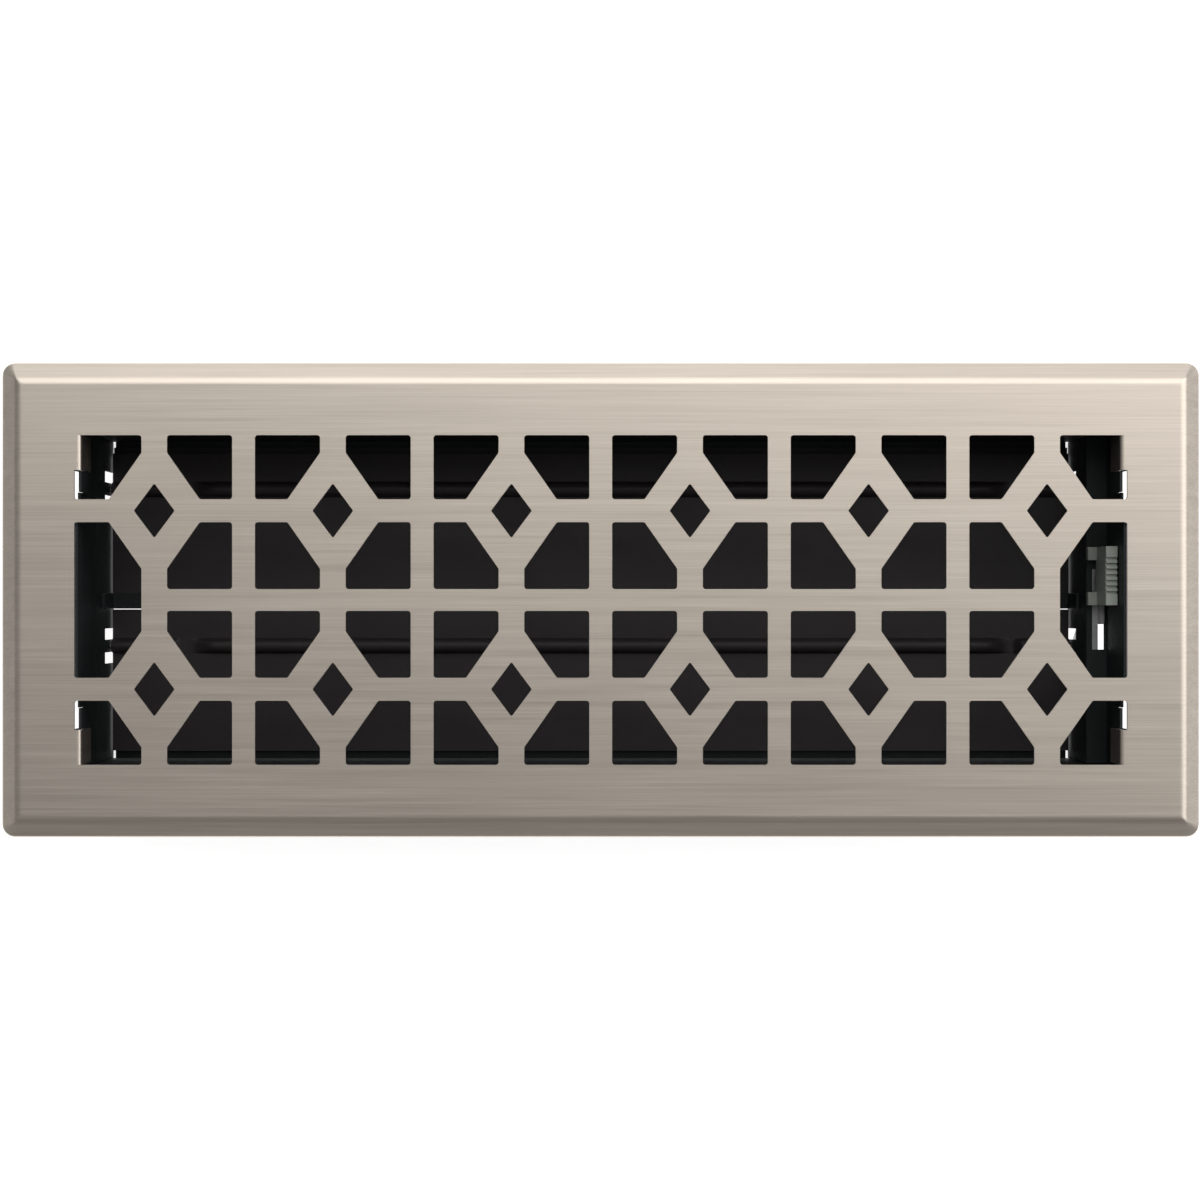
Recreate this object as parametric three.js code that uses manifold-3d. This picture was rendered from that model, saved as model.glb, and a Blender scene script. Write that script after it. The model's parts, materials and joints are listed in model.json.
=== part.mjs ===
// Floor register for a 4 x 12 in duct opening: a stamped lattice faceplate over a sheet-metal damper box
// with two louvre blades, worked by a slider that is reached through the lattice at the right-hand end.
// Millimetres, +Z up to the room, +X along the register, origin under the middle of the box.
import * as THREE from 'three';
import { mergeGeometries, mergeVertices } from 'three/addons/utils/BufferGeometryUtils.js';
import Module from 'manifold-3d';

const wasm = await Module();
wasm.setup();

// ---- faceplate ----
const RIM_ENDS = 21.35; // plain rim beyond the lattice at each end
const RIM_SIDES = 20.9; // and along each side
const PLATE_SHEET = 1.0;
const PLATE_CORNER = 3.7; // plan radius of the rim's corners
const SLOPE_WIDTH = 5.2; // the rim slopes down over this far in plan
const SLOPE_DROP = 3.4; // by this much
const RIM_LIP = 1.6; // and then drops straight to the floor
const BROW_BLEND = 1.3; // softness of the bend from the flat into the slope
const LIP_BLEND = 0.6; // and from the slope into the lip

// ---- lattice ----
const PITCH = 25.4; // bar spacing both ways
const FIELD_PAST_ENDS = 0.8; // the lattice opens out to the outer faces of the box's end walls
const FIELD_INSIDE_SIDES = 1.4; // and stops this far inside its long walls
const HUB_BAR = 7.3; // uprights that carry a diamond hub
const PLAIN_BAR = 6.5;
const MIDDLE_BAR = 6.2;
const HUB_HALF_LENGTH = 15.2;
const HUB_HALF_WIDTH = 21.7;
const DIAMOND_HALF_LENGTH = 5.8;
const DIAMOND_HALF_WIDTH = 7.8;
const OPENING_CORNER = 0.8;
const DIAMOND_CORNER = 0.4;

// ---- plate tabs, bent down into the box at its corners ----
const TAB_WIDTH = 9.9;
const TAB_DROP = 13;

// ---- damper box ----
const BOX_HEIGHT = 52; // from the bottom edge to the plate's underside
const BOX_SHEET = 0.8;
const BOX_INNER_LENGTH = 298;
const BOX_INNER_WIDTH = 96.6;
const LIP = 2.3; // bottom edges of the long walls turned inwards
const LIP_RELIEF = 0.8;
const FLANGE_WIDTH = 12; // ends of the long walls, welded outside the end walls
const FLANGE_ABOVE_LEDGE = 1.6;
const FLANGE_BELOW_PLATE = 2;
const CREASE_DEPTH = 0.5; // stiffening crease across the left end wall
const CREASE_HALF = 1.4;
const LEDGE_DEPTH = 23.6; // the right end wall's ledge, below the plate's underside
const LEDGE_WIDTH = 6.1;
const LUG_WIDTH = 5.9;
const LUG_DROP = 10;
const LUG_INSET = 1.1;
const LUG_SLOT = 2.1;
const LUG_SLOT_DEPTH = 4;

// ---- blades and pivots ----
const BLADE_SHEET = 0.8;
const BLADE_SHORT = 11; // pivot to the edge that lifts
const STEP_DOWN = 2; // the back blade's lifting edge steps down this far
const STEP_LAP = 0.5; // and shuts over the back wall's lip by this much
const BLADE_END_GAP = 0.5;
const PIVOT_HEIGHT = 4.6;
const PIN_RADIUS = 1;
const PIN_GRIP = 14; // length of a pin inside the blade's bead
const PIN_PROUD = 0.8; // how far a left pin stands out of its wall
const BEAD_GAP = 0.3; // air between a pin and its bead
const BEAD_SINK = 0.7; // the top of a blade's flat lies this far below the axis
const TONGUE_WIDTH = 3.8; // bearing tongues in the end walls
const WINDOW_WIDTH = 3.4;
const WINDOW_HEIGHT = 13;
const HOLE_GAP = 0.3;

// ---- centre bar ----
const BAR_WIDTH = 4.7;
const BAR_SHEET = 1.0;
const BAR_OFFSET = -0.25;
const BAR_TAB_BELOW_LEDGE = 9.4; // its bent-up ends stop this far below the ledge and the crease
const BAR_LAP = 0.4; // the back blade's long edge tucks this far under the bar
const RUNNING_GAP = 0.3;
const LIP_GAP = 0.2;

// ---- slider: cranks, link bar, strip and grip ----
const TRAVEL = 7.2;
const CRANK_RADIUS = 5.6;
const CRANK_SHEET = 1.0;
const CRANK_HUB = 3.0;
const CRANK_TIP = 2.1;
const CRANK_PIN_RADIUS = 0.9;
const YOKE_GAP = 0.5;
const LINK_SHEET = 1.3;
const LINK_WEB = 7.5; // height of the low bar that joins the two yokes
const LINK_HEM = 0.6;
const LINK_HEM_HEIGHT = 4;
const LINK_RISER_MARGIN = 3.5; // link bar past the ledge slot's front end and the strip's back edge
const STRIP_SHEET = 1.3;
const STRIP_FRONT = -7.1;
const STRIP_BACK = 9.0;
const STRIP_LAP = 13; // how far strip and link overlap below the ledge
const STRIP_TONGUE_FRONT = 1.0;
const RIVET_RADIUS = 1.2;
const RIVET_HEAD_RADIUS = 2.2;
const RIVET_HEAD = 0.7;
const RIVET_EDGE = 3.9; // rivet centre from the strip's edge
const GRIP_FRONT = -1.5;
const GRIP_LENGTH = 17;
const GRIP_THICK = 3.3;
const GRIP_ABOVE_LEDGE = 2.3;
const GRIP_HEIGHT = 14.3;
const GRIP_END_BLOCK = 3.2;
const GRIP_RIBS = 6;
const GRIP_RIB = 0.75;
const GRIP_GROOVE_DEPTH = 0.8;
const GRIP_POCKET_DEPTH = 12;
const FOOT_WIDTH = 3.8;
const FOOT_HEIGHT = 3;
const SIDE_GAP = 0.3;

// ---- places that follow from the sizes above ----
const FIELD_LENGTH = BOX_INNER_LENGTH + 2 * FIELD_PAST_ENDS;
const FIELD_WIDTH = BOX_INNER_WIDTH - 2 * FIELD_INSIDE_SIDES;
const PLATE_LENGTH = FIELD_LENGTH + 2 * RIM_ENDS;
const PLATE_WIDTH = FIELD_WIDTH + 2 * RIM_SIDES;
const COLUMNS = Math.round(FIELD_LENGTH / 2 / PITCH) - 1; // upright bars on each side of the middle one
const TOP = BOX_HEIGHT + PLATE_SHEET;
const FLOOR = TOP - SLOPE_DROP - RIM_LIP;
const END_X = BOX_INNER_LENGTH / 2;
const SIDE_Y = BOX_INNER_WIDTH / 2;
const LIP_Y = SIDE_Y - LIP;
const STEP_X = END_X - LEDGE_WIDTH;
const BAR_BACK = BAR_OFFSET + BAR_WIDTH / 2;
const BAR_FRONT = BAR_OFFSET - BAR_WIDTH / 2;
const BLADE_WIDTH = LIP_Y - LIP_GAP + BAR_FRONT - RUNNING_GAP;
const BLADE_LONG = BLADE_WIDTH - BLADE_SHORT;
const BACK_PIVOT = BAR_BACK - BAR_LAP + BLADE_LONG;
const FRONT_PIVOT = BAR_FRONT - RUNNING_GAP - BLADE_SHORT;
const BLADE_TOP = PIVOT_HEIGHT - BEAD_SINK;
const BAR_LOW = BLADE_TOP + RUNNING_GAP;
const BLADE_LEFT = -END_X + BLADE_END_GAP;
const BLADE_RIGHT = STEP_X - BLADE_END_GAP;
const CRANK_X = STEP_X + BOX_SHEET + SIDE_GAP;
const LINK_X = CRANK_X + CRANK_SHEET + SIDE_GAP;
const STRIP_X = LINK_X + LINK_SHEET;
const PIN_OFFSET = TRAVEL / 2;
const PIN_LIFT = Math.sqrt(CRANK_RADIUS ** 2 - PIN_OFFSET ** 2);
const LEDGE_HEIGHT = BOX_HEIGHT - LEDGE_DEPTH;
const LEDGE_UNDERSIDE = LEDGE_HEIGHT - BOX_SHEET;
const FLANGE_LOW = LEDGE_HEIGHT + FLANGE_ABOVE_LEDGE;
const FLANGE_HIGH = BOX_HEIGHT - FLANGE_BELOW_PLATE;
const GRIP_LOW = LEDGE_HEIGHT + GRIP_ABOVE_LEDGE;
const SLOT_FRONT = STRIP_FRONT - TRAVEL - RUNNING_GAP;
const LINK_RISER_FRONT = SLOT_FRONT - LINK_RISER_MARGIN;
const LINK_RISER_BACK = STRIP_BACK + LINK_RISER_MARGIN;
const RIVET_PLACES = [STRIP_FRONT + RIVET_EDGE, STRIP_BACK - RIVET_EDGE];
const GRIP_OUTER = END_X - SIDE_GAP;
const GRIP_INNER = GRIP_OUTER - GRIP_THICK;
const GRIP_BACK = GRIP_FRONT + GRIP_LENGTH;

const AXIS_X = new THREE.Vector3(1, 0, 0);
const AXIS_Y = new THREE.Vector3(0, 1, 0);
const AXIS_Z = new THREE.Vector3(0, 0, 1);

// ---- outlines and extrusions ----
function outline(points, corner = 0) {
  const corners = points.map(([x, y]) => new THREE.Vector2(x, y));
  if (corner === 0) return new THREE.Shape(corners);
  const shape = new THREE.Shape();
  corners.forEach((here, i) => {
    const before = corners[(i + corners.length - 1) % corners.length];
    const after = corners[(i + 1) % corners.length];
    const start = here.clone().lerp(before, Math.min(corner / here.distanceTo(before), 0.45));
    const end = here.clone().lerp(after, Math.min(corner / here.distanceTo(after), 0.45));
    if (i === 0) shape.moveTo(start.x, start.y);
    else shape.lineTo(start.x, start.y);
    shape.quadraticCurveTo(here.x, here.y, end.x, end.y);
  });
  shape.closePath();
  return shape;
}

function extrude(shape, depth, curveSegments) {
  return new THREE.ExtrudeGeometry(shape, { depth, bevelEnabled: false, curveSegments });
}

// An outline in X and Y, carried up from low to high.
function alongZ(shape, low, high, curveSegments = 2) {
  return extrude(shape, high - low, curveSegments).translate(0, 0, low);
}

// An outline in Y and Z, carried along X from left to right.
function alongX(shape, left, right, curveSegments = 8) {
  const turn = new THREE.Matrix4().makeBasis(AXIS_Y, AXIS_Z, AXIS_X);
  return extrude(shape, right - left, curveSegments).applyMatrix4(turn).translate(left, 0, 0);
}

// An outline in X and Z, carried along Y from front to back.
function alongY(shape, front, back, curveSegments = 8) {
  const turn = new THREE.Matrix4().makeBasis(AXIS_X, AXIS_Z, AXIS_Y.clone().negate());
  return extrude(shape, back - front, curveSegments).applyMatrix4(turn).translate(0, back, 0);
}

function block(left, right, front, back, low, high) {
  const box = new THREE.BoxGeometry(right - left, back - front, high - low);
  return box.translate((left + right) / 2, (front + back) / 2, (low + high) / 2);
}

function rod(radius, left, right, y = 0, z = 0, sides = 16) {
  const cylinder = new THREE.CylinderGeometry(radius, radius, right - left, sides);
  return cylinder.rotateZ(-Math.PI / 2).translate((left + right) / 2, y, z);
}

// ---- joining and cutting ----
function solid(geometry) {
  const bare = geometry.clone();
  bare.deleteAttribute('normal');
  bare.deleteAttribute('uv');
  const merged = mergeVertices(bare, 1e-5);
  const vertProperties = new Float32Array(merged.attributes.position.array);
  const triVerts = new Uint32Array(merged.index.array);
  return new wasm.Manifold(new wasm.Mesh({ numProp: 3, vertProperties, triVerts }));
}

function geometryOf(result) {
  const mesh = result.getMesh();
  const geometry = new THREE.BufferGeometry();
  geometry.setAttribute('position', new THREE.BufferAttribute(mesh.vertProperties, 3));
  geometry.setIndex(new THREE.BufferAttribute(mesh.triVerts, 1));
  geometry.computeVertexNormals();
  return geometry;
}

function shaped(base, added, removed) {
  let result = solid(base);
  for (const geometry of added) result = result.add(solid(geometry));
  for (const geometry of removed) result = result.subtract(solid(geometry));
  return geometryOf(result);
}

// ---- finishes ----
const FINISHES = {
  nickel: { color: 0xbfb5a9, roughness: 0.38, metalness: 0.9 },
  blackBox: { color: 0x141316, roughness: 0.62, metalness: 0.1 },
  blackBlade: { color: 0x1d1a1a, roughness: 0.5, metalness: 0.1 },
  steel: { color: 0x8d8f8e, roughness: 0.42, metalness: 0.9 },
  greyPlastic: { color: 0x484c46, roughness: 0.5, metalness: 0.0 },
};

const register = new THREE.Group();

function piece(name, finish, geometry, parent = register) {
  const mesh = new THREE.Mesh(geometry, new THREE.MeshStandardMaterial(FINISHES[finish]));
  mesh.name = name;
  parent.add(mesh);
  return mesh;
}

// ---- faceplate ----
// A section through the rim: a short lip, a slope and the flat top, with each bend blended. The underside is
// the same section set in by the sheet's thickness all along.
function rimProfile(plateHalf, inset, low) {
  const angle = Math.atan2(SLOPE_DROP, SLOPE_WIDTH);
  const half = plateHalf - inset;
  const top = TOP - inset;
  const lip = new THREE.Vector2(half, TOP - SLOPE_DROP + inset * (Math.tan(angle) - 1 / Math.cos(angle)));
  const browShift = (inset * (1 / Math.cos(angle) - 1)) / Math.tan(angle);
  const brow = new THREE.Vector2(plateHalf - SLOPE_WIDTH - browShift, top);
  const along = brow.clone().sub(lip).normalize();
  const afterLip = lip.clone().addScaledVector(along, LIP_BLEND);
  const beforeBrow = brow.clone().addScaledVector(along, -BROW_BLEND);
  const shape = new THREE.Shape();
  shape.moveTo(half, low);
  shape.lineTo(half, lip.y - LIP_BLEND);
  shape.quadraticCurveTo(lip.x, lip.y, afterLip.x, afterLip.y);
  shape.lineTo(beforeBrow.x, beforeBrow.y);
  shape.quadraticCurveTo(brow.x, brow.y, brow.x - BROW_BLEND, top);
  shape.lineTo(-brow.x + BROW_BLEND, top);
  shape.quadraticCurveTo(-brow.x, brow.y, -beforeBrow.x, beforeBrow.y);
  shape.lineTo(-afterLip.x, afterLip.y);
  shape.quadraticCurveTo(-lip.x, lip.y, -half, lip.y - LIP_BLEND);
  shape.lineTo(-half, low);
  shape.closePath();
  return shape;
}

function dish(inset, low) {
  const halfLength = PLATE_LENGTH / 2 - inset;
  const halfWidth = PLATE_WIDTH / 2 - inset;
  const long = alongY(rimProfile(PLATE_LENGTH / 2, inset, low), -halfWidth, halfWidth, 4);
  const wide = alongX(rimProfile(PLATE_WIDTH / 2, inset, low), -halfLength, halfLength, 4);
  const plan = [
    [-halfLength, -halfWidth],
    [halfLength, -halfWidth],
    [halfLength, halfWidth],
    [-halfLength, halfWidth],
  ];
  const corners = alongZ(outline(plan, PLATE_CORNER - inset), low - 1, TOP + 1, 5);
  return solid(long).intersect(solid(wide)).intersect(solid(corners));
}

// Every other upright carries a pair of diamond hubs, and the middle one is plain.
function carriesHubs(column) {
  return Math.abs(column) % 2 === 1;
}

function barHalf(column) {
  return (carriesHubs(column) ? HUB_BAR : PLAIN_BAR) / 2;
}

// The rectangle between four bars, less the corner that each hub takes from it.
function clippedCell(left, right, front, back, hubs) {
  let points = [[left, front], [right, front], [right, back], [left, back]];
  for (const [hubX, hubY] of hubs) {
    const outside = ([x, y]) => {
      return Math.abs(x - hubX) / HUB_HALF_LENGTH + Math.abs(y - hubY) / HUB_HALF_WIDTH - 1;
    };
    const kept = [];
    points.forEach((here, i) => {
      const next = points[(i + 1) % points.length];
      const a = outside(here);
      const b = outside(next);
      if (a >= 0) kept.push(here);
      if (a * b < 0) {
        const t = a / (a - b);
        kept.push([here[0] + t * (next[0] - here[0]), here[1] + t * (next[1] - here[1])]);
      }
    });
    points = kept;
  }
  return points;
}

function latticeOpenings() {
  const openings = [];
  const last = COLUMNS;
  const fieldX = FIELD_LENGTH / 2;
  const fieldY = FIELD_WIDTH / 2;
  const rowLow = PITCH - PLAIN_BAR / 2;
  const rowHigh = PITCH + PLAIN_BAR / 2;
  for (let column = -last - 1; column <= last; column++) {
    const left = column < -last ? -fieldX : column * PITCH + barHalf(column);
    const right = column === last ? fieldX : (column + 1) * PITCH - barHalf(column + 1);
    const hubX = (carriesHubs(column) ? column : column + 1) * PITCH;
    for (const side of [-1, 1]) {
      const near = Math.min(side * rowHigh, side * fieldY);
      const far = Math.max(side * rowHigh, side * fieldY);
      openings.push(clippedCell(left, right, near, far, [[hubX, side * PITCH]]));
      if (column < -last || column === last) continue;
      const low = Math.min((side * MIDDLE_BAR) / 2, side * rowLow);
      const high = Math.max((side * MIDDLE_BAR) / 2, side * rowLow);
      openings.push(clippedCell(left, right, low, high, [[hubX, side * PITCH]]));
    }
    if (column < -last || column === last) {
      openings.push(clippedCell(left, right, -rowLow, rowLow, [[hubX, -PITCH], [hubX, PITCH]]));
    }
  }
  return openings;
}

function diamond(centreX, centreY) {
  return [
    [centreX - DIAMOND_HALF_LENGTH, centreY],
    [centreX, centreY - DIAMOND_HALF_WIDTH],
    [centreX + DIAMOND_HALF_LENGTH, centreY],
    [centreX, centreY + DIAMOND_HALF_WIDTH],
  ];
}

function latticeCutter() {
  const low = TOP - 2 * PLATE_SHEET;
  const high = TOP + PLATE_SHEET;
  const prisms = latticeOpenings().map((cell) => alongZ(outline(cell, OPENING_CORNER), low, high));
  for (let column = -COLUMNS; column <= COLUMNS; column++) {
    if (!carriesHubs(column)) continue;
    for (const side of [-1, 1]) {
      const shape = outline(diamond(column * PITCH, side * PITCH), DIAMOND_CORNER);
      prisms.push(alongZ(shape, low, high));
    }
  }
  return mergeGeometries(prisms);
}

// A tab starts in the rim, bends down just inside the end of the lattice and lies along the end wall.
function tab(end, side) {
  const outer = END_X - SIDE_GAP;
  const inner = outer - PLATE_SHEET;
  const bend = SIDE_GAP; // inner radius, round the top edge of the end wall
  const centreX = outer + bend;
  const centreZ = BOX_HEIGHT - bend;
  const root = FIELD_LENGTH / 2 + PLATE_SHEET;
  const turn = 4;
  const points = [[root, TOP]];
  for (let i = 0; i <= turn; i++) {
    const angle = Math.PI / 2 + (i * Math.PI) / 2 / turn;
    const radius = bend + PLATE_SHEET;
    points.push([centreX + radius * Math.cos(angle), centreZ + radius * Math.sin(angle)]);
  }
  points.push([inner, TOP - TAB_DROP], [outer, TOP - TAB_DROP]);
  for (let i = turn; i >= 0; i--) {
    const angle = Math.PI / 2 + (i * Math.PI) / 2 / turn;
    points.push([centreX + bend * Math.cos(angle), centreZ + bend * Math.sin(angle)]);
  }
  points.push([root, BOX_HEIGHT]);
  const far = FIELD_WIDTH / 2;
  const near = far - TAB_WIDTH;
  const profile = outline(points.map(([x, z]) => [end * x, z]));
  return alongY(profile, Math.min(side * near, side * far), Math.max(side * near, side * far));
}

function faceplate() {
  let plate = dish(0, FLOOR).subtract(dish(PLATE_SHEET, FLOOR - PLATE_SHEET));
  plate = plate.subtract(solid(latticeCutter()));
  for (const end of [-1, 1]) {
    for (const side of [-1, 1]) plate = plate.add(solid(tab(end, side)));
  }
  return geometryOf(plate);
}

piece('faceplate', 'nickel', faceplate());

// ---- damper box ----
// A long wall stands on its turned-in lip; its ends fold round the end walls.
function longWall(side) {
  const inner = SIDE_Y;
  const outer = SIDE_Y + BOX_SHEET;
  const right = END_X + BOX_SHEET;
  const span = (a, b) => [Math.min(side * a, side * b), Math.max(side * a, side * b)];
  const [wallFront, wallBack] = span(inner, outer);
  const [lipFront, lipBack] = span(LIP_Y, outer);
  const [foldFront, foldBack] = span(outer - FLANGE_WIDTH, outer);
  const lipLeft = -END_X + LIP_RELIEF;
  const lipRight = STEP_X - LIP_RELIEF;
  const lip = block(lipLeft, lipRight, lipFront, lipBack, 0, BOX_SHEET);
  const folds = [-1, 1].map((end) => {
    const near = end * right;
    const far = end * (right + BOX_SHEET);
    const left = Math.min(near, far);
    return block(left, left + BOX_SHEET, foldFront, foldBack, FLANGE_LOW, FLANGE_HIGH);
  });
  const wall = block(-right, right, wallFront, wallBack, 0, BOX_HEIGHT);
  const corners = [-1, 1].map((end) => {
    const left = end < 0 ? -right - BOX_SHEET : right - BOX_SHEET;
    return block(left, left + 2 * BOX_SHEET, wallFront, wallBack, FLANGE_LOW, FLANGE_HIGH);
  });
  return shaped(wall, [lip, ...folds, ...corners], []);
}

// Two windows beside each pivot leave a springy tongue, and the pin turns in a hole in the tongue.
function pivotCuts(faceX, end) {
  const left = Math.min(faceX - end, faceX + end * 2);
  const right = left + 3;
  const cuts = [];
  for (const pivot of [BACK_PIVOT, FRONT_PIVOT]) {
    for (const side of [-1, 1]) {
      const near = pivot + (side * TONGUE_WIDTH) / 2;
      const front = Math.min(near, near + side * WINDOW_WIDTH);
      cuts.push(block(left, right, front, front + WINDOW_WIDTH, -1, WINDOW_HEIGHT));
    }
    cuts.push(rod(PIN_RADIUS + HOLE_GAP, left, right, pivot, PIVOT_HEIGHT));
  }
  return cuts;
}

// Each lug is a strip of the wall's top set inwards beside a plate tab, with a slot along its inner side.
function lugs(end) {
  const added = [];
  const removed = [];
  const far = FIELD_WIDTH / 2 - TAB_WIDTH - SIDE_GAP;
  const near = far - LUG_WIDTH;
  const low = BOX_HEIGHT - LUG_DROP;
  const faceX = END_X - LUG_INSET;
  const profile = [
    [faceX, BOX_HEIGHT],
    [faceX, low],
    [END_X, low - LUG_INSET],
    [END_X + BOX_SHEET, low - LUG_INSET],
    [END_X + BOX_SHEET, low],
    [faceX + BOX_SHEET, low + LUG_INSET],
    [faceX + BOX_SHEET, BOX_HEIGHT],
  ];
  const shape = outline(profile.map(([x, z]) => [end * x, z]));
  const left = end < 0 ? -END_X - 2 : END_X - BOX_SHEET;
  for (const side of [-1, 1]) {
    const front = Math.min(side * near, side * far);
    added.push(alongY(shape, front, front + LUG_WIDTH));
    removed.push(block(left, left + 3, front, front + LUG_WIDTH, low, BOX_HEIGHT + 1));
    const slot = Math.min(side * near, side * (near - LUG_SLOT));
    removed.push(block(left, left + 3, slot, slot + LUG_SLOT, BOX_HEIGHT - LUG_SLOT_DEPTH, BOX_HEIGHT + 1));
  }
  return { added, removed };
}

function endWall(profile, end, pivotFaceX, otherCuts) {
  const { added, removed } = lugs(end);
  let wall = solid(alongY(outline(profile), -SIDE_Y, SIDE_Y));
  for (const cut of [...removed, ...pivotCuts(pivotFaceX, end), ...otherCuts]) {
    wall = wall.subtract(solid(cut));
  }
  for (const lug of added) wall = wall.add(solid(lug));
  return geometryOf(wall);
}

function leftEndWall() {
  const inner = -END_X;
  const outer = inner - BOX_SHEET;
  const crease = LEDGE_UNDERSIDE;
  const profile = [
    [inner, 0],
    [inner, crease - CREASE_HALF],
    [inner + CREASE_DEPTH, crease],
    [inner, crease + CREASE_HALF],
    [inner, BOX_HEIGHT],
    [outer, BOX_HEIGHT],
    [outer, crease + CREASE_HALF],
    [outer + CREASE_DEPTH, crease],
    [outer, crease - CREASE_HALF],
    [outer, 0],
  ];
  return endWall(profile, -1, -END_X, []);
}

// The right end wall steps in over the linkage, and the slider runs in a slot in the step.
function rightEndWall() {
  const profile = [
    [STEP_X, 0],
    [STEP_X + BOX_SHEET, 0],
    [STEP_X + BOX_SHEET, LEDGE_UNDERSIDE],
    [END_X + BOX_SHEET, LEDGE_UNDERSIDE],
    [END_X + BOX_SHEET, BOX_HEIGHT],
    [END_X, BOX_HEIGHT],
    [END_X, LEDGE_HEIGHT],
    [STEP_X, LEDGE_HEIGHT],
  ];
  const slotLeft = LINK_X - LINK_HEM;
  const slotRight = STRIP_X + STRIP_SHEET + SIDE_GAP;
  const slotBack = STRIP_BACK + RUNNING_GAP;
  const low = LEDGE_UNDERSIDE - 1;
  const slot = block(slotLeft, slotRight, SLOT_FRONT, slotBack, low, LEDGE_HEIGHT + 1);
  return endWall(profile, 1, STEP_X, [slot]);
}

piece('long_wall_back', 'blackBox', longWall(1));
piece('long_wall_front', 'blackBox', longWall(-1));
piece('end_wall_left', 'blackBox', leftEndWall());
piece('end_wall_right', 'blackBox', rightEndWall());

// ---- centre bar ----
// A flat strip between the blades, with its ends bent up against the end walls.
function centreBar() {
  const high = BAR_LOW + BAR_SHEET;
  const tip = LEDGE_UNDERSIDE - BAR_TAB_BELOW_LEDGE;
  const profile = [
    [-END_X, BAR_LOW],
    [STEP_X, BAR_LOW],
    [STEP_X, tip],
    [STEP_X - BAR_SHEET, tip],
    [STEP_X - BAR_SHEET, high],
    [-END_X + BAR_SHEET, high],
    [-END_X + BAR_SHEET, tip],
    [-END_X, tip],
  ];
  return alongY(outline(profile), BAR_FRONT, BAR_BACK);
}

piece('centre_bar', 'blackBox', centreBar());

// ---- blades ----
// A flat sheet with a bead pressed up over the pins. Drawn about its own axis, closed. The back blade's lifting
// edge steps down to shut over the lip; the front blade's ends flat beside the centre bar.
function bladeProfile(reach) {
  const inner = PIN_RADIUS + BEAD_GAP;
  const outer = inner + BLADE_SHEET;
  const high = -BEAD_SINK;
  const low = high - BLADE_SHEET;
  const shape = new THREE.Shape();
  shape.moveTo(-BLADE_LONG, low);
  shape.lineTo(-inner, low);
  shape.lineTo(-inner, 0);
  shape.absarc(0, 0, inner, Math.PI, 0, true);
  shape.lineTo(inner, low);
  if (reach > BLADE_SHORT) {
    shape.lineTo(BLADE_SHORT - BLADE_SHEET, low);
    shape.lineTo(BLADE_SHORT - BLADE_SHEET, low - STEP_DOWN);
    shape.lineTo(reach, low - STEP_DOWN);
    shape.lineTo(reach, high - STEP_DOWN);
    shape.lineTo(BLADE_SHORT, high - STEP_DOWN);
  } else {
    shape.lineTo(BLADE_SHORT, low);
  }
  shape.lineTo(BLADE_SHORT, high);
  shape.lineTo(outer, high);
  shape.lineTo(outer, 0);
  shape.absarc(0, 0, outer, 0, Math.PI, false);
  shape.lineTo(-outer, high);
  shape.lineTo(-BLADE_LONG, high);
  shape.closePath();
  return shape;
}

// A crank arm from the pivot to the crank pin, which stands up and back while the blade is closed.
function crankArm() {
  const reach = Math.hypot(PIN_OFFSET, PIN_LIFT);
  const slope = Math.acos((CRANK_HUB - CRANK_TIP) / reach);
  const shape = new THREE.Shape();
  shape.absarc(0, 0, CRANK_HUB, slope, 2 * Math.PI - slope, false);
  shape.absarc(reach, 0, CRANK_TIP, 2 * Math.PI - slope, slope, false);
  shape.closePath();
  const left = CRANK_X;
  const right = CRANK_X + CRANK_SHEET;
  const arm = alongX(shape, left, right, 10).rotateX(Math.atan2(PIN_LIFT, PIN_OFFSET));
  const pivotHole = rod(PIN_RADIUS + HOLE_GAP / 2, left - 1, right + 1);
  const pinHole = rod(CRANK_PIN_RADIUS + HOLE_GAP / 2, left - 1, right + 1, PIN_OFFSET, PIN_LIFT);
  return shaped(arm, [], [pivotHole, pinHole]);
}

function bladeSet(place, pivot, reach) {
  const set = new THREE.Group();
  set.position.set(0, pivot, PIVOT_HEIGHT);
  const leftTip = -END_X - BOX_SHEET - PIN_PROUD;
  const rightTip = CRANK_X + CRANK_SHEET;
  const pinTip = LINK_X + LINK_SHEET;
  const crankPin = rod(CRANK_PIN_RADIUS, CRANK_X, pinTip, PIN_OFFSET, PIN_LIFT);
  const blade = alongX(bladeProfile(reach), BLADE_LEFT, BLADE_RIGHT, 10);
  piece(`damper_blade_${place}`, 'blackBlade', blade, set);
  piece(`pivot_pin_${place}_left`, 'steel', rod(PIN_RADIUS, leftTip, BLADE_LEFT + PIN_GRIP), set);
  piece(`pivot_pin_${place}_right`, 'steel', rod(PIN_RADIUS, BLADE_RIGHT - PIN_GRIP, rightTip), set);
  piece(`crank_${place}`, 'steel', crankArm(), set);
  piece(`crank_pin_${place}`, 'steel', crankPin, set);
  register.add(set);
}

bladeSet('back', BACK_PIVOT, LIP_Y + STEP_LAP - BACK_PIVOT);
bladeSet('front', FRONT_PIVOT, BLADE_SHORT);

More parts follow.
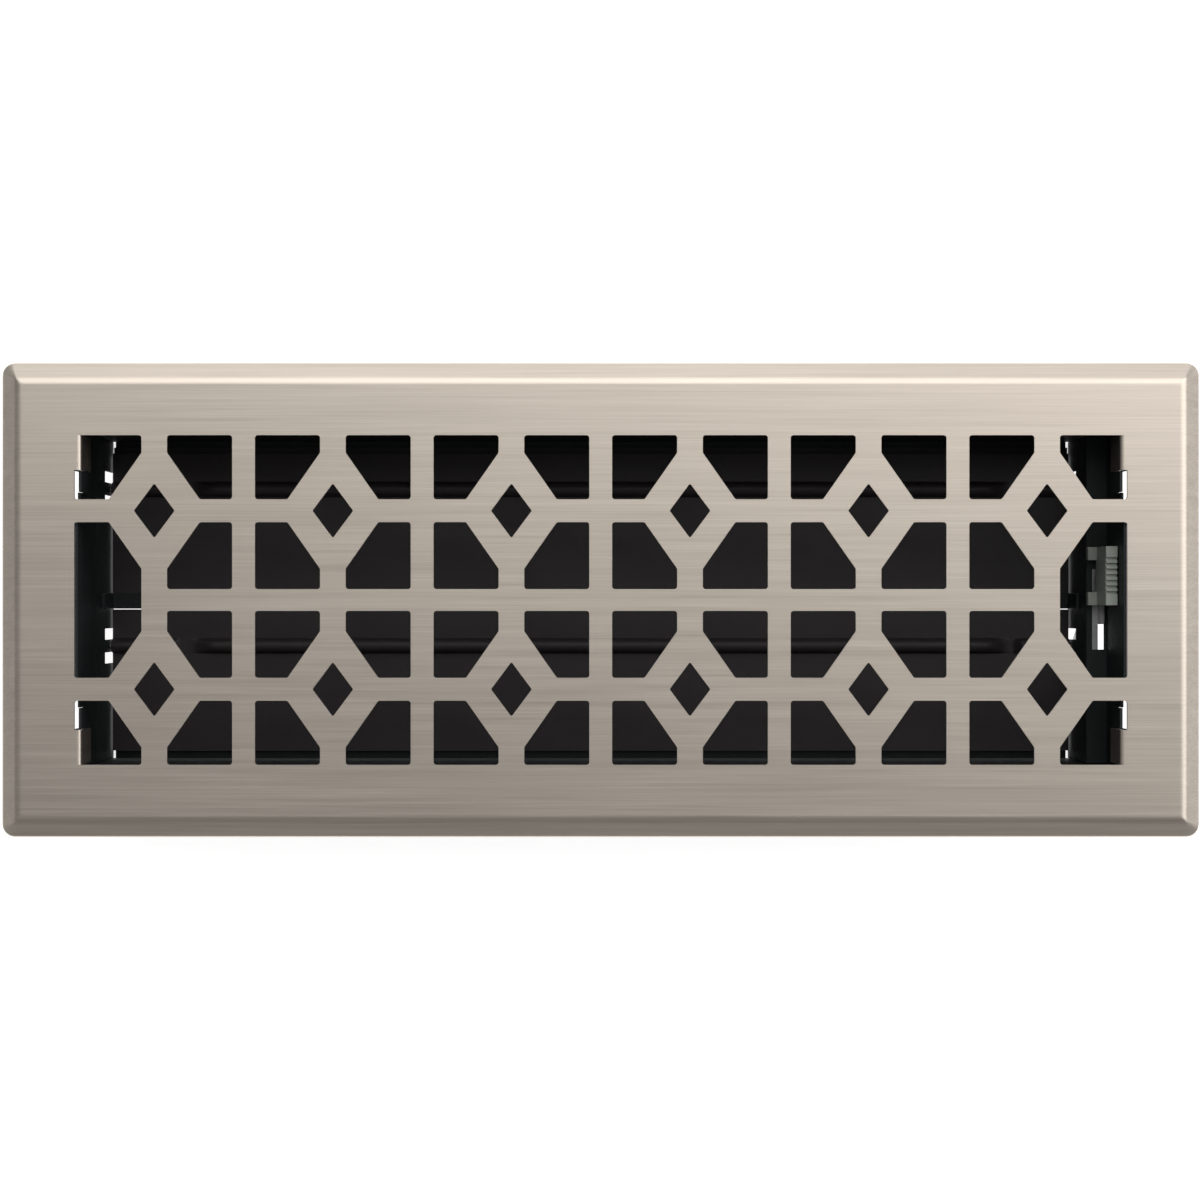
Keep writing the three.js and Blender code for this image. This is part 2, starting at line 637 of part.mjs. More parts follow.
// ---- slider ----
// The link bar joins the two yokes; its hemmed top edge runs just under the ledge.
function linkBar() {
  const frontYoke = FRONT_PIVOT + PIN_OFFSET;
  const backYoke = BACK_PIVOT + PIN_OFFSET;
  const slotHalf = CRANK_PIN_RADIUS + YOKE_GAP;
  const slotLow = PIVOT_HEIGHT + PIN_LIFT - slotHalf;
  const slotHigh = PIVOT_HEIGHT + CRANK_RADIUS + slotHalf;
  const margin = slotHalf + 2.2;
  const low = slotLow - 1.6;
  const webHigh = low + LINK_WEB;
  const high = LEDGE_UNDERSIDE - RUNNING_GAP;
  const points = [
    [frontYoke - margin, low],
    [backYoke + margin, low],
    [backYoke + margin, webHigh],
    [LINK_RISER_BACK, webHigh],
    [LINK_RISER_BACK, high],
    [LINK_RISER_FRONT, high],
    [LINK_RISER_FRONT, webHigh],
    [frontYoke - margin, webHigh],
  ];
  const plate = alongX(outline(points), LINK_X, LINK_X + LINK_SHEET);
  const hem = block(
    LINK_X - LINK_HEM, LINK_X + LINK_SHEET, LINK_RISER_FRONT, LINK_RISER_BACK, high - LINK_HEM_HEIGHT, high,
  );
  const cuts = [frontYoke, backYoke].map((y) => {
    return block(LINK_X - 1, STRIP_X + 1, y - slotHalf, y + slotHalf, slotLow, slotHigh);
  });
  for (const y of RIVET_PLACES) {
    cuts.push(rod(RIVET_RADIUS + HOLE_GAP / 2, LINK_X - 1, STRIP_X + 1, y, rivetHeight()));
  }
  return shaped(plate, [hem], cuts);
}

function rivetHeight() {
  return LEDGE_UNDERSIDE - LINK_HEM_HEIGHT - RIVET_HEAD_RADIUS - 2 * RUNNING_GAP;
}

// The strip is riveted to the link bar and rises through the slot; its tongue goes up into the grip.
function sliderStrip() {
  const low = LEDGE_UNDERSIDE - STRIP_LAP;
  const shoulder = GRIP_LOW - RUNNING_GAP;
  const tip = GRIP_LOW + GRIP_POCKET_DEPTH - RUNNING_GAP;
  const points = [
    [STRIP_FRONT, low],
    [STRIP_BACK, low],
    [STRIP_BACK, tip],
    [STRIP_TONGUE_FRONT, tip],
    [STRIP_TONGUE_FRONT, shoulder],
    [STRIP_FRONT, shoulder],
  ];
  const strip = alongX(outline(points), STRIP_X, STRIP_X + STRIP_SHEET);
  const holes = RIVET_PLACES.map((y) => {
    return rod(RIVET_RADIUS + HOLE_GAP / 2, STRIP_X - 1, STRIP_X + STRIP_SHEET + 1, y, rivetHeight());
  });
  return shaped(strip, [], holes);
}

// A rivet is turned: two flat heads on a shank that passes through the link bar and the strip.
function rivet(y) {
  const grip = LINK_SHEET + STRIP_SHEET;
  const profile = [
    [0, -RIVET_HEAD],
    [RIVET_HEAD_RADIUS, -RIVET_HEAD],
    [RIVET_HEAD_RADIUS, 0],
    [RIVET_RADIUS, 0],
    [RIVET_RADIUS, grip],
    [RIVET_HEAD_RADIUS, grip],
    [RIVET_HEAD_RADIUS, grip + RIVET_HEAD],
    [0, grip + RIVET_HEAD],
  ];
  const turned = new THREE.LatheGeometry(profile.map(([r, h]) => new THREE.Vector2(r, h)), 16);
  return turned.rotateZ(-Math.PI / 2).translate(LINK_X, y, rivetHeight());
}

// The grip is moulded with a ribbed top, a pocket for the strip and two feet that ride on the ledge.
function sliderGrip() {
  const high = GRIP_LOW + GRIP_HEIGHT;
  const footLow = LEDGE_HEIGHT + RUNNING_GAP;
  const body = block(GRIP_INNER, GRIP_OUTER, GRIP_FRONT, GRIP_BACK, GRIP_LOW, high);
  const feet = [GRIP_FRONT, GRIP_BACK - FOOT_WIDTH].map((front) => {
    return block(STEP_X, GRIP_INNER + 1, front, front + FOOT_WIDTH, footLow, footLow + FOOT_HEIGHT);
  });
  const pocket = block(
    STRIP_X - SIDE_GAP, STRIP_X + STRIP_SHEET + SIDE_GAP,
    STRIP_TONGUE_FRONT - SIDE_GAP, STRIP_BACK + SIDE_GAP,
    GRIP_LOW - 1, GRIP_LOW + GRIP_POCKET_DEPTH,
  );
  const ribbed = GRIP_LENGTH - 2 * GRIP_END_BLOCK;
  const groove = (ribbed - GRIP_RIBS * GRIP_RIB) / (GRIP_RIBS + 1);
  const grooves = [];
  for (let i = 0; i <= GRIP_RIBS; i++) {
    const front = GRIP_FRONT + GRIP_END_BLOCK + i * (groove + GRIP_RIB);
    const low = high - GRIP_GROOVE_DEPTH;
    grooves.push(block(GRIP_INNER - 1, GRIP_OUTER + 1, front, front + groove, low, high + 1));
  }
  return shaped(body, feet, [pocket, ...grooves]);
}

piece('link_bar', 'steel', linkBar());
piece('slider_strip', 'steel', sliderStrip());
piece('link_rivet_front', 'steel', rivet(RIVET_PLACES[0]));
piece('link_rivet_back', 'steel', rivet(RIVET_PLACES[1]));
piece('slider_grip', 'greyPlastic', sliderGrip());

export default register;
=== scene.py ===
import json
import math

import bmesh
import bpy
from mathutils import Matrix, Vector

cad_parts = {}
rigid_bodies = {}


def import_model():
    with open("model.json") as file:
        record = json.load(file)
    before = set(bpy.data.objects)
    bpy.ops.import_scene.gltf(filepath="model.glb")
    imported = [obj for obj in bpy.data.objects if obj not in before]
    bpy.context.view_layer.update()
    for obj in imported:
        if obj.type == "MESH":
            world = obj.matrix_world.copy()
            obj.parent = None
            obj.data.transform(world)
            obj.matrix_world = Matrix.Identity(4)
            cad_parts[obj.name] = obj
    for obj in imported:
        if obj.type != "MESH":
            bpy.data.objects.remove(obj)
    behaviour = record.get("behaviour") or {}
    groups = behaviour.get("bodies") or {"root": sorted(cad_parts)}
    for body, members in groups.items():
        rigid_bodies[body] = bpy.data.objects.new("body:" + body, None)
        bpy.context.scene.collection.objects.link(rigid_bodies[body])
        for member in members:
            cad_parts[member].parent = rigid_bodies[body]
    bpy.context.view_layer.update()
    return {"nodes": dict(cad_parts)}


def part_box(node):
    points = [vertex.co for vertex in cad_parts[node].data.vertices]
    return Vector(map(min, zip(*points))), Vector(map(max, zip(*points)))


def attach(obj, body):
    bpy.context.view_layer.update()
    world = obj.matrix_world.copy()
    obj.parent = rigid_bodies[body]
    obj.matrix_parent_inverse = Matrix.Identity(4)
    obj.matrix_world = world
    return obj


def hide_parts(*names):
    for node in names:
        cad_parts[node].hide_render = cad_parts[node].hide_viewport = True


for old in list(bpy.data.objects):
    bpy.data.objects.remove(old)
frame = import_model()

# ---- camera ----
# A floor register seen from straight above, as it lies before it is dropped into its duct.
camera_height = 0.753
camera_data = bpy.data.cameras.new("camera")
camera_data.sensor_width = 36
camera_data.lens = 73.83
camera = bpy.data.objects.new("camera", camera_data)
camera.location = (-0.0002, 0, camera_height)
bpy.context.scene.collection.objects.link(camera)
bpy.context.scene.camera = camera
bpy.context.scene.view_settings.view_transform = "Standard"

# ---- room ----
# A plain white floor under the box, a pale room, one wide soft panel over the back half, a low one behind the
# register and one on the right. The floor is white to the eye and in the metal, and still takes the register's shadow.
floor_size = 12
floor_drop = 0.0006
floor_glow = 0.8
room_level = 0.24


class Value:
    """A shader socket that can stand in a sum."""

    def __init__(self, finish, socket):
        self.finish = finish
        self.socket = socket

    def sum(self, operation, first, second):
        return self.finish.add("ShaderNodeMath", {"operation": operation}, {0: first, 1: second})

    def __add__(self, other):
        return self.sum("ADD", self, other)

    def __mul__(self, other):
        return self.sum("MULTIPLY", self, other)

    __radd__ = __add__
    __rmul__ = __mul__


class Finish:
    """A material whose nodes are all made by one method."""

    def __init__(self, name, owner=None):
        self.material = owner or bpy.data.materials.new(name)
        self.material.use_nodes = True
        self.tree = self.material.node_tree
        self.tree.nodes.clear()

    def add(self, kind, settings=None, sockets=None, output=0):
        node = self.tree.nodes.new(kind)
        for name, value in (settings or {}).items():
            setattr(node, name, value)
        for name, value in (sockets or {}).items():
            if isinstance(value, Value):
                self.tree.links.new(value.socket, node.inputs[name])
            else:
                node.inputs[name].default_value = value
        return Value(self, node.outputs[output]) if node.outputs else node


floor_paint = Finish("floor_white")
ray = ("Is Camera Ray", "Is Glossy Ray", "Is Transmission Ray")
seen, mirrored, through = [floor_paint.add("ShaderNodeLightPath", output=name) for name in ray]
glow = floor_paint.add("ShaderNodeMath", {"operation": "MAXIMUM"}, {0: seen, 1: mirrored})
glow = floor_paint.add("ShaderNodeMath", {"operation": "MAXIMUM"}, {0: glow, 1: through})
floor_shader = floor_paint.add("ShaderNodeBsdfPrincipled", None, {
    "Base Color": (0.8, 0.8, 0.8, 1), "Roughness": 0.9, "Specular IOR Level": 0.0,
    "Emission Color": (1, 1, 1, 1), "Emission Strength": glow * floor_glow,
})
floor_paint.add("ShaderNodeOutputMaterial", None, {"Surface": floor_shader})

floor_mesh = bpy.data.meshes.new("floor")
half = floor_size / 2
corners = [(-half, -half), (half, -half), (half, half), (-half, half)]
floor_mesh.from_pydata([(x, y, -floor_drop) for x, y in corners], [], [(0, 1, 2, 3)])
floor_mesh.materials.append(floor_paint.material)
floor = bpy.data.objects.new("floor", floor_mesh)
bpy.context.scene.collection.objects.link(floor)

world = bpy.data.worlds.new("room")
bpy.context.scene.world = world
room = Finish("room", world)
to_camera = room.add("ShaderNodeLightPath", output="Is Camera Ray")
room_light = room.add("ShaderNodeBackground", None, {
    "Color": (1, 1, 1, 1), "Strength": to_camera * (1 - room_level) + room_level,
})
room.add("ShaderNodeOutputWorld", None, {"Surface": room_light})


def soft_panel(name, place, aim, length, width, radiance):
    light = bpy.data.lights.new(name, "AREA")
    light.shape = "RECTANGLE"
    light.size = length
    light.size_y = width
    light.energy = radiance * math.pi * length * width
    panel = bpy.data.objects.new(name, light)
    panel.location = place
    panel.rotation_euler = (Vector(aim) - Vector(place)).to_track_quat("-Z", "Y").to_euler()
    bpy.context.scene.collection.objects.link(panel)


soft_panel("panel_over_back", (0.22, 1.12, 1.7), (0.05, 0.3, 0.05), 3.0, 1.9, 1.7)
soft_panel("panel_low_back", (0.2, 2.0, 0.72), (0, 0, 0.05), 2.6, 0.8, 0.95)
soft_panel("panel_right", (1.6, 0.25, 1.15), (0, 0, 0.05), 1.4, 1.1, 1.9)

# ---- faceplate ----
# Stamped from 1 mm sheet steel: a lattice with diamond hubs, a rim rolled down all round and four tabs bent
# down into the box. Nickel plated and brushed lengthwise.
mm = 0.001
plate_low, plate_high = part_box("faceplate")
plate_top = plate_high[2]
plate_half_length = (plate_high[0] - plate_low[0]) / 2
plate_half_width = (plate_high[1] - plate_low[1]) / 2
sheet = 1 * mm
slope_width = 5.2 * mm
slope_drop = 3.4 * mm
rim_height = 5 * mm
lip_blend = 0.6 * mm
brow_blend = 1.3 * mm
plate_corner = 3.7 * mm
brow_corner = 0.6 * mm
corner_steps = 6
rim_ends = 21.35 * mm
rim_sides = 20.9 * mm
field_half_length = plate_half_length - rim_ends
field_half_width = plate_half_width - rim_sides
pitch = 25.4 * mm
columns = 5
hub_bar = 7.3 * mm
plain_bar = 6.5 * mm
middle_bar = 6.2 * mm
hub_half_length = 15.2 * mm
hub_half_width = 21.7 * mm
diamond_half_length = 5.8 * mm
diamond_half_width = 7.8 * mm
opening_corner = 0.8 * mm
diamond_corner = 0.4 * mm
weld = 0.002 * mm


def arc_between(before, corner, after, cut, steps):
    """The corner of a section, rounded off over the same distance on both sides."""
    before, corner, after = Vector(before), Vector(corner), Vector(after)
    start = corner + (before - corner).normalized() * cut
    end = corner + (after - corner).normalized() * cut
    points = []
    for step in range(steps + 1):
        t = step / steps
        points.append((1 - t) ** 2 * start + 2 * t * (1 - t) * corner + t ** 2 * end)
    return points


def inward(section, distance):
    """The same section set in by the sheet's thickness."""
    moved = []
    for i, point in enumerate(section):
        before = section[max(i - 1, 0)]
        after = section[min(i + 1, len(section) - 1)]
        sides = [(point - before), (after - point)]
        normals = [Vector((side.y, -side.x)).normalized() for side in sides if side.length > 0]
        middle = sum(normals, Vector((0, 0))).normalized()
        moved.append(point + middle * distance / max(middle.dot(normals[0]), 0.4))
    return moved


def rounded_loop(half_length, half_width, radius, height):
    points = []
    for quarter, (side_x, side_y) in enumerate([(1, 1), (-1, 1), (-1, -1), (1, -1)]):
        for step in range(corner_steps + 1):
            angle = (quarter + step / corner_steps) * math.pi / 2
            x = side_x * (half_length - radius) + radius * math.cos(angle)
            y = side_y * (half_width - radius) + radius * math.sin(angle)
            points.append((x, y, height))
    return points


# The rim's section runs from the lip's bottom edge up the slope to the flat: distance in from the edge, height.
lip_bottom = (0, plate_top - rim_height)
lip_top = (0, plate_top - slope_drop)
brow = (slope_width, plate_top)
flat_start = (2 * slope_width, plate_top)
outer = [Vector(lip_bottom)]
outer += arc_between(lip_bottom, lip_top, brow, lip_blend, 6)
outer += arc_between(lip_top, brow, flat_start, brow_blend, 8)
inner = inward(outer, sheet)
inner[0] = Vector((sheet, lip_bottom[1]))
inner[-1] = Vector((outer[-1].x, plate_top - sheet))
brow_inset = outer[-1].x

rim = bmesh.new()
rings = []
for inset, height in outer[::-1] + inner:
    radius = max(plate_corner - inset, brow_corner)
    loop = rounded_loop(plate_half_length - inset, plate_half_width - inset, radius, height)
    rings.append([rim.verts.new(point) for point in loop])
for ring, following in zip(rings, rings[1:]):
    for i, corner in enumerate(ring):
        j = (i + 1) % len(ring)
        rim.faces.new((corner, following[i], following[j], ring[j]))


def clipped_cell(left, right, front, back, hubs):
    """The rectangle between four bars, less what each hub covers."""
    cell = [(left, front), (right, front), (right, back), (left, back)]
    for hub_x, hub_y in hubs:
        kept = []
        reach = [abs(x - hub_x) / hub_half_length + abs(y - hub_y) / hub_half_width - 1 for x, y in cell]
        for i, here in enumerate(cell):
            j = (i + 1) % len(cell)
            if reach[i] >= 0:
                kept.append(here)
            if reach[i] * reach[j] < 0:
                t = reach[i] / (reach[i] - reach[j])
                kept.append(tuple(a + t * (b - a) for a, b in zip(here, cell[j])))
        cell = kept
    return cell


def bar_half(column):
    return (hub_bar if column % 2 else plain_bar) / 2


cells = []
for column in range(-columns - 1, columns + 1):
    left_end = column < -columns
    right_end = column == columns
    left = -field_half_length if left_end else column * pitch + bar_half(column)
    right = field_half_length if right_end else (column + 1) * pitch - bar_half(column + 1)
    hub_x = (column if column % 2 else column + 1) * pitch
    row_inner = pitch - plain_bar / 2
    row_outer = pitch + plain_bar / 2
    for side in (-1, 1):
        near, far = sorted((side * row_outer, side * field_half_width))
        cells.append(clipped_cell(left, right, near, far, [(hub_x, side * pitch)]))
        if not (left_end or right_end):
            near, far = sorted((side * middle_bar / 2, side * row_inner))
            cells.append(clipped_cell(left, right, near, far, [(hub_x, side * pitch)]))
    if left_end or right_end:
        hubs = [(hub_x, -pitch), (hub_x, pitch)]
        cells.append(clipped_cell(left, right, -row_inner, row_inner, hubs))

diamonds = []
for column in range(-columns, columns + 1):
    for side in (-1, 1):
        x, y = column * pitch, side * pitch
        if column % 2:
            diamonds.append([
                (x - diamond_half_length, y), (x, y - diamond_half_width),
                (x + diamond_half_length, y), (x, y + diamond_half_width),
            ])

# Every outline of the flat sheet, as edges, with the radius that its corners are stamped to.
flat = rounded_loop(plate_half_length - brow_inset, plate_half_width - brow_inset, brow_corner, 0)
outlines = [([point[:2] for point in flat], 0)]
outlines += [(cell, opening_corner) for cell in cells]
outlines += [(shape, diamond_corner) for shape in diamonds]
points, edges, radii = [], [], []
for outline, radius in outlines:
    first = len(points)
    count = len(outline)
    points += [(x, y, 0) for x, y in outline]
    edges += [(first + i, first + (i + 1) % count) for i in range(count)]
    radii += [radius] * count
lattice_mesh = bpy.data.meshes.new("lattice")
lattice_mesh.from_pydata(points, edges, [])
lattice_mesh.attributes.new("corner", "FLOAT", "POINT").data.foreach_set("value", radii)
lattice = bpy.data.objects.new("lattice", lattice_mesh)
bpy.context.scene.collection.objects.link(lattice)


class Tree:
    """A Geometry Nodes tree with named inputs."""

    def __init__(self, name, inputs):
        self.group = bpy.data.node_groups.new(name, "GeometryNodeTree")
        self.identifiers = {}
        face = self.group.interface
        face.new_socket("Geometry", in_out="INPUT", socket_type="NodeSocketGeometry")
        face.new_socket("Geometry", in_out="OUTPUT", socket_type="NodeSocketGeometry")
        for label, kind in inputs.items():
            socket = face.new_socket(label, in_out="INPUT", socket_type=kind)
            self.identifiers[label] = socket.identifier
        self.start = self.group.nodes.new("NodeGroupInput")
        self.end = self.group.nodes.new("NodeGroupOutput")

    def add(self, kind, settings=None, sockets=None, output=0):
        node = self.group.nodes.new(kind)
        for name, value in (settings or {}).items():
            setattr(node, name, value)
        for name, value in (sockets or {}).items():
            if isinstance(value, bpy.types.NodeSocket):
                self.group.links.new(value, node.inputs[name])
            else:
                node.inputs[name].default_value = value
        return node.outputs[output]

    def given(self, label):
        return self.start.outputs[label]

    def finish(self, geometry):
        whole = self.add("GeometryNodeRealizeInstances", None, {"Geometry": geometry})
        coated = self.add("GeometryNodeSetMaterial", None, {"Geometry": whole, "Material": self.given("Finish")})
        self.group.links.new(coated, self.end.inputs[0])

    def made(self, piece, values):
        """Runs the tree on a piece and leaves it as a plain mesh."""
        modifier = piece.modifiers.new(self.group.name, "NODES")
        modifier.node_group = self.group
        for label, value in values.items():
            modifier[self.identifiers[label]] = value
        settle(piece)


def settle(piece):
    """Turns a piece and its modifiers into a plain mesh."""
    bpy.context.view_layer.update()
    seen_by = bpy.context.evaluated_depsgraph_get()
    mesh = bpy.data.meshes.new_from_object(piece.evaluated_get(seen_by), depsgraph=seen_by)
    piece.modifiers.clear()
    piece.data = mesh


lattice_tree = Tree("Lattice sheet", {
    "Sheet thickness": "NodeSocketFloat", "Underside height": "NodeSocketFloat",
    "Corner steps": "NodeSocketInt", "Finish": "NodeSocketMaterial",
})
t = lattice_tree
curves = t.add("GeometryNodeMeshToCurve", None, {"Mesh": t.given("Geometry")})
corner = t.add("GeometryNodeInputNamedAttribute", {"data_type": "FLOAT"}, {"Name": "corner"})
curves = t.add("GeometryNodeFilletCurve", {"mode": "POLY"}, {
    "Curve": curves, "Radius": corner, "Limit Radius": True, "Count": t.given("Corner steps"),
})
under = t.add("GeometryNodeFillCurve", {"mode": "NGONS"}, {"Curve": curves})
lift = t.add("ShaderNodeCombineXYZ", None, {"Z": t.given("Sheet thickness")})
raised = t.add("GeometryNodeExtrudeMesh", {"mode": "FACES"}, {
    "Mesh": under, "Offset": lift, "Offset Scale": 1.0, "Individual": False,
})
turned = t.add("GeometryNodeFlipFaces", None, {"Mesh": under})
joined = t.group.nodes.new("GeometryNodeJoinGeometry")
for part in (raised, turned):
    t.group.links.new(part, joined.inputs[0])
closed = t.add("GeometryNodeMergeByDistance", None, {"Geometry": joined.outputs[0], "Distance": weld})
level = t.add("ShaderNodeCombineXYZ", None, {"Z": t.given("Underside height")})
t.finish(t.add("GeometryNodeSetPosition", None, {"Geometry": closed, "Offset": level}))

nickel = Finish("brushed_nickel")


def noise(finish, stretch, detail=2.0, rough=0.55):
    """Noise over the piece's own coordinates, in features per metre along each axis."""
    spread = finish.add("ShaderNodeTexCoord", output="Object")
    spread = finish.add("ShaderNodeVectorMath", {"operation": "MULTIPLY"}, {0: spread, 1: stretch})
    return finish.add("ShaderNodeTexNoise", None, {
        "Vector": spread, "Scale": 1.0, "Detail": detail, "Roughness": rough,
    })


def coat(finish, colours, mask, roughness, metallic, level, bump, bump_height, bump_strength):
    """The shader that every finish ends in."""
    colour = finish.add("ShaderNodeMix", {"data_type": "RGBA"}, {
        0: mask, 6: (*colours[0], 1), 7: (*colours[1], 1),
    }, output=2)
    normal = finish.add("ShaderNodeBump", None, {
        "Height": bump, "Distance": bump_height, "Strength": bump_strength,
    })
    shader = finish.add("ShaderNodeBsdfPrincipled", None, {
        "Base Color": colour, "Roughness": roughness, "Metallic": metallic,
        "Specular IOR Level": level, "Normal": normal,
    })
    finish.add("ShaderNodeOutputMaterial", None, {"Surface": shader})


hairlines = noise(nickel, (22, 2600, 1600), 3)
strokes = noise(nickel, (7, 420, 300), 3)
clouds = noise(nickel, (9, 16, 16), 2)
brushing = hairlines * 0.6 + strokes * 0.3 + clouds * 0.1
coat(
    nickel, [(0.43, 0.372, 0.312), (0.80, 0.725, 0.640)], brushing, brushing * 0.20 + 0.27,
    1.0, 0.5, brushing, 0.02 * mm, 0.3,
)

lattice_tree.made(lattice, {
    "Sheet thickness": sheet, "Underside height": plate_top - sheet, "Corner steps": 4,
    "Finish": nickel.material,
})

# The flat's outer wall goes where the rim joins it, and the two are welded into one closed sheet.
plate = bmesh.new()
plate.from_mesh(lattice.data)
brow_x = plate_half_length - brow_inset
brow_y = plate_half_width - brow_inset
joint = [
    face for face in plate.faces
    if abs(face.normal.z) < 0.5
    and (abs(face.calc_center_median().x) > field_half_length + 5 * mm
         or abs(face.calc_center_median().y) > field_half_width + 5 * mm)
]
bmesh.ops.delete(plate, geom=joint, context="FACES")
rim_mesh = bpy.data.meshes.new("rim")
rim.to_mesh(rim_mesh)
plate.from_mesh(rim_mesh)
bmesh.ops.remove_doubles(plate, verts=plate.verts, dist=weld)
bmesh.ops.recalc_face_normals(plate, faces=plate.faces)


def piece_from(name, made, finish):
    mesh = bpy.data.meshes.new(name)
    made.to_mesh(mesh)
    made.free()
    mesh.materials.append(finish.material)
    piece = bpy.data.objects.new(name, mesh)
    bpy.context.scene.collection.objects.link(piece)
    return piece


def prism(outline, axis, start, end):
    """A closed solid: an outline across the two other axes, carried along one."""
    made = bmesh.new()
    ends = []
    for place_along in (start, end):
        ring = []
        for first, second in outline:
            point = [first, second]
            point.insert(axis, place_along)
            ring.append(made.verts.new(point))
        ends.append(ring)
    made.faces.new(ends[0])
    made.faces.new(ends[1][::-1])
    for i, corner in enumerate(ends[0]):
        j = (i + 1) % len(outline)
        made.faces.new((corner, ends[1][i], ends[1][j], ends[0][j]))
    bmesh.ops.recalc_face_normals(made, faces=made.faces)
    return made


def add_solid(target, made):
    mesh = bpy.data.meshes.new("part")
    made.to_mesh(mesh)
    made.free()
    target.from_mesh(mesh)
    bpy.data.meshes.remove(mesh)


def combine(piece, other, operation):
    """Adds or takes away the other solid, which is then thrown away."""
    cut = piece.modifiers.new("combine", "BOOLEAN")
    cut.operation = operation
    cut.solver = "EXACT"
    cut.object = other
    settle(piece)
    bpy.data.objects.remove(other)


def smooth(piece):
    """Soft shading in which the broad faces stay flat and the narrow ones between them turn."""
    for polygon in piece.data.polygons:
        polygon.use_smooth = True
    normals = piece.modifiers.new("broad faces first", "WEIGHTED_NORMAL")
    normals.mode = "FACE_AREA"
    normals.weight = 50
    settle(piece)


def round_edges(piece, width, segments, angle=50):
    bevel = piece.modifiers.new("rounded edges", "BEVEL")
    bevel.width = width
    bevel.segments = segments
    bevel.limit_method = "ANGLE"
    bevel.angle_limit = math.radians(angle)
    smooth(piece)


faceplate = piece_from("faceplate_brushed", plate, nickel)
bpy.data.objects.remove(lattice)

tab_width = 9.9 * mm
tab_low = plate_low[2]
tab_outer = 148.7 * mm
tab_bend = 0.3 * mm
tab_root = field_half_length + sheet
bend_x = tab_outer + tab_bend
bend_z = plate_top - sheet - tab_bend
turns = [math.pi / 2 * (1 + step / 6) for step in range(7)]
tab_profile = [(tab_root, plate_top)]
tab_profile += [
    (bend_x + (tab_bend + sheet) * math.cos(a), bend_z + (tab_bend + sheet) * math.sin(a)) for a in turns
]
tab_profile += [(tab_outer - sheet, tab_low), (tab_outer, tab_low)]
tab_profile += [(bend_x + tab_bend * math.cos(a), bend_z + tab_bend * math.sin(a)) for a in turns[::-1]]
tab_profile += [(tab_root, plate_top - sheet)]
tabs = bmesh.new()
for end in (-1, 1):
    for side in (-1, 1):
        near, far = sorted((side * (field_half_width - tab_width), side * field_half_width))
        add_solid(tabs, prism([(end * x, z) for x, z in tab_profile], 1, near, far))
combine(faceplate, piece_from("tabs", tabs, nickel), "UNION")
round_edges(faceplate, 0.16 * mm, 2)
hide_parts("faceplate")
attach(faceplate, "housing")

# ---- damper box ----
# Four walls folded from 0.8 mm sheet, their flanges spot-welded at the corners, in a fine black powder coat
# that wrinkles a little on the flats.
powder = Finish("black_powder_coat")
grain = noise(powder, (1500, 1500, 1500), 3, 0.6)
patches = noise(powder, (60, 60, 60), 2)
coat(
    powder, [(0.0055, 0.0085, 0.0095), (0.024, 0.0285, 0.0295)], grain * 0.6 + patches * 0.4,
    grain * 0.25 + 0.42, 0.0, 0.28, grain, 0.08 * mm, 0.55,
)


def pressed_copy(name, node, finish, bend, wide):
    """A sheet-metal node again, with its bends rounded and its cut edges just eased."""
    made = bmesh.new()
    made.from_mesh(frame["nodes"][node].data)
    bmesh.ops.remove_doubles(made, verts=made.verts, dist=weld)
    bmesh.ops.dissolve_limit(
        made, angle_limit=math.radians(0.5), verts=made.verts, edges=made.edges,
    )
    weights = made.edges.layers.float.new("bevel_weight_edge")
    for edge in made.edges:
        if len(edge.link_faces) != 2 or edge.calc_face_angle() < math.radians(30):
            continue
        broad = all(face.calc_area() / max(edge.calc_length(), weld) > wide for face in edge.link_faces)
        fold = broad and edge.calc_length() > 4 * mm
        hollow = edge.calc_face_angle_signed() < 0
        edge[weights] = (0.45 if hollow else 1.0) if fold else 0.14
    piece = piece_from(name, made, finish)
    bevel = piece.modifiers.new("bends", "BEVEL")
    bevel.limit_method = "WEIGHT"
    bevel.width = bend
    bevel.segments = 3
    smooth(piece)
    return piece


for wall in ("long_wall_back", "long_wall_front", "end_wall_left", "end_wall_right"):
    folded = pressed_copy(wall + "_coated", wall, powder, 0.75 * mm, 1.2 * mm)
    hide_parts(wall)
    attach(folded, "housing")

# ---- centre bar ----
# A flat strip between the blades. Its ends are bent up and spot-welded to the end walls.
bar = pressed_copy("centre_bar_coated", "centre_bar", powder, 0.8 * mm, 1.2 * mm)
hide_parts("centre_bar")
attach(bar, "housing")

# ---- damper blades ----
# Two louvre blades in 0.8 mm sheet with a satin black coat. A bead is pressed up along each pivot line: a
# long one for stiffness and a short one over the pin at each end. The back one steps down over the lip.
satin = Finish("satin_black")
film = noise(satin, (18, 120, 120), 2)
specks = noise(satin, (900, 900, 900), 2)
coat(
    satin, [(0.024, 0.0195, 0.0205), (0.040, 0.033, 0.0345)], film * 0.7 + specks * 0.3,
    specks * 0.12 + 0.38, 0.0, 0.32, specks, 0.03 * mm, 0.35,
)
back_pivot = 33.6 * mm
front_pivot = -13.9 * mm
pivot_height = 4.6 * mm
blade_sheet = 0.8 * mm
blade_flat = -0.7 * mm
blade_short = 11 * mm
step_down = 2 * mm
blade_ends = (-148.5 * mm, 142.4 * mm)
bead_inner = 1.3 * mm
bead_outer = bead_inner + blade_sheet
bead_root = 0.4 * mm
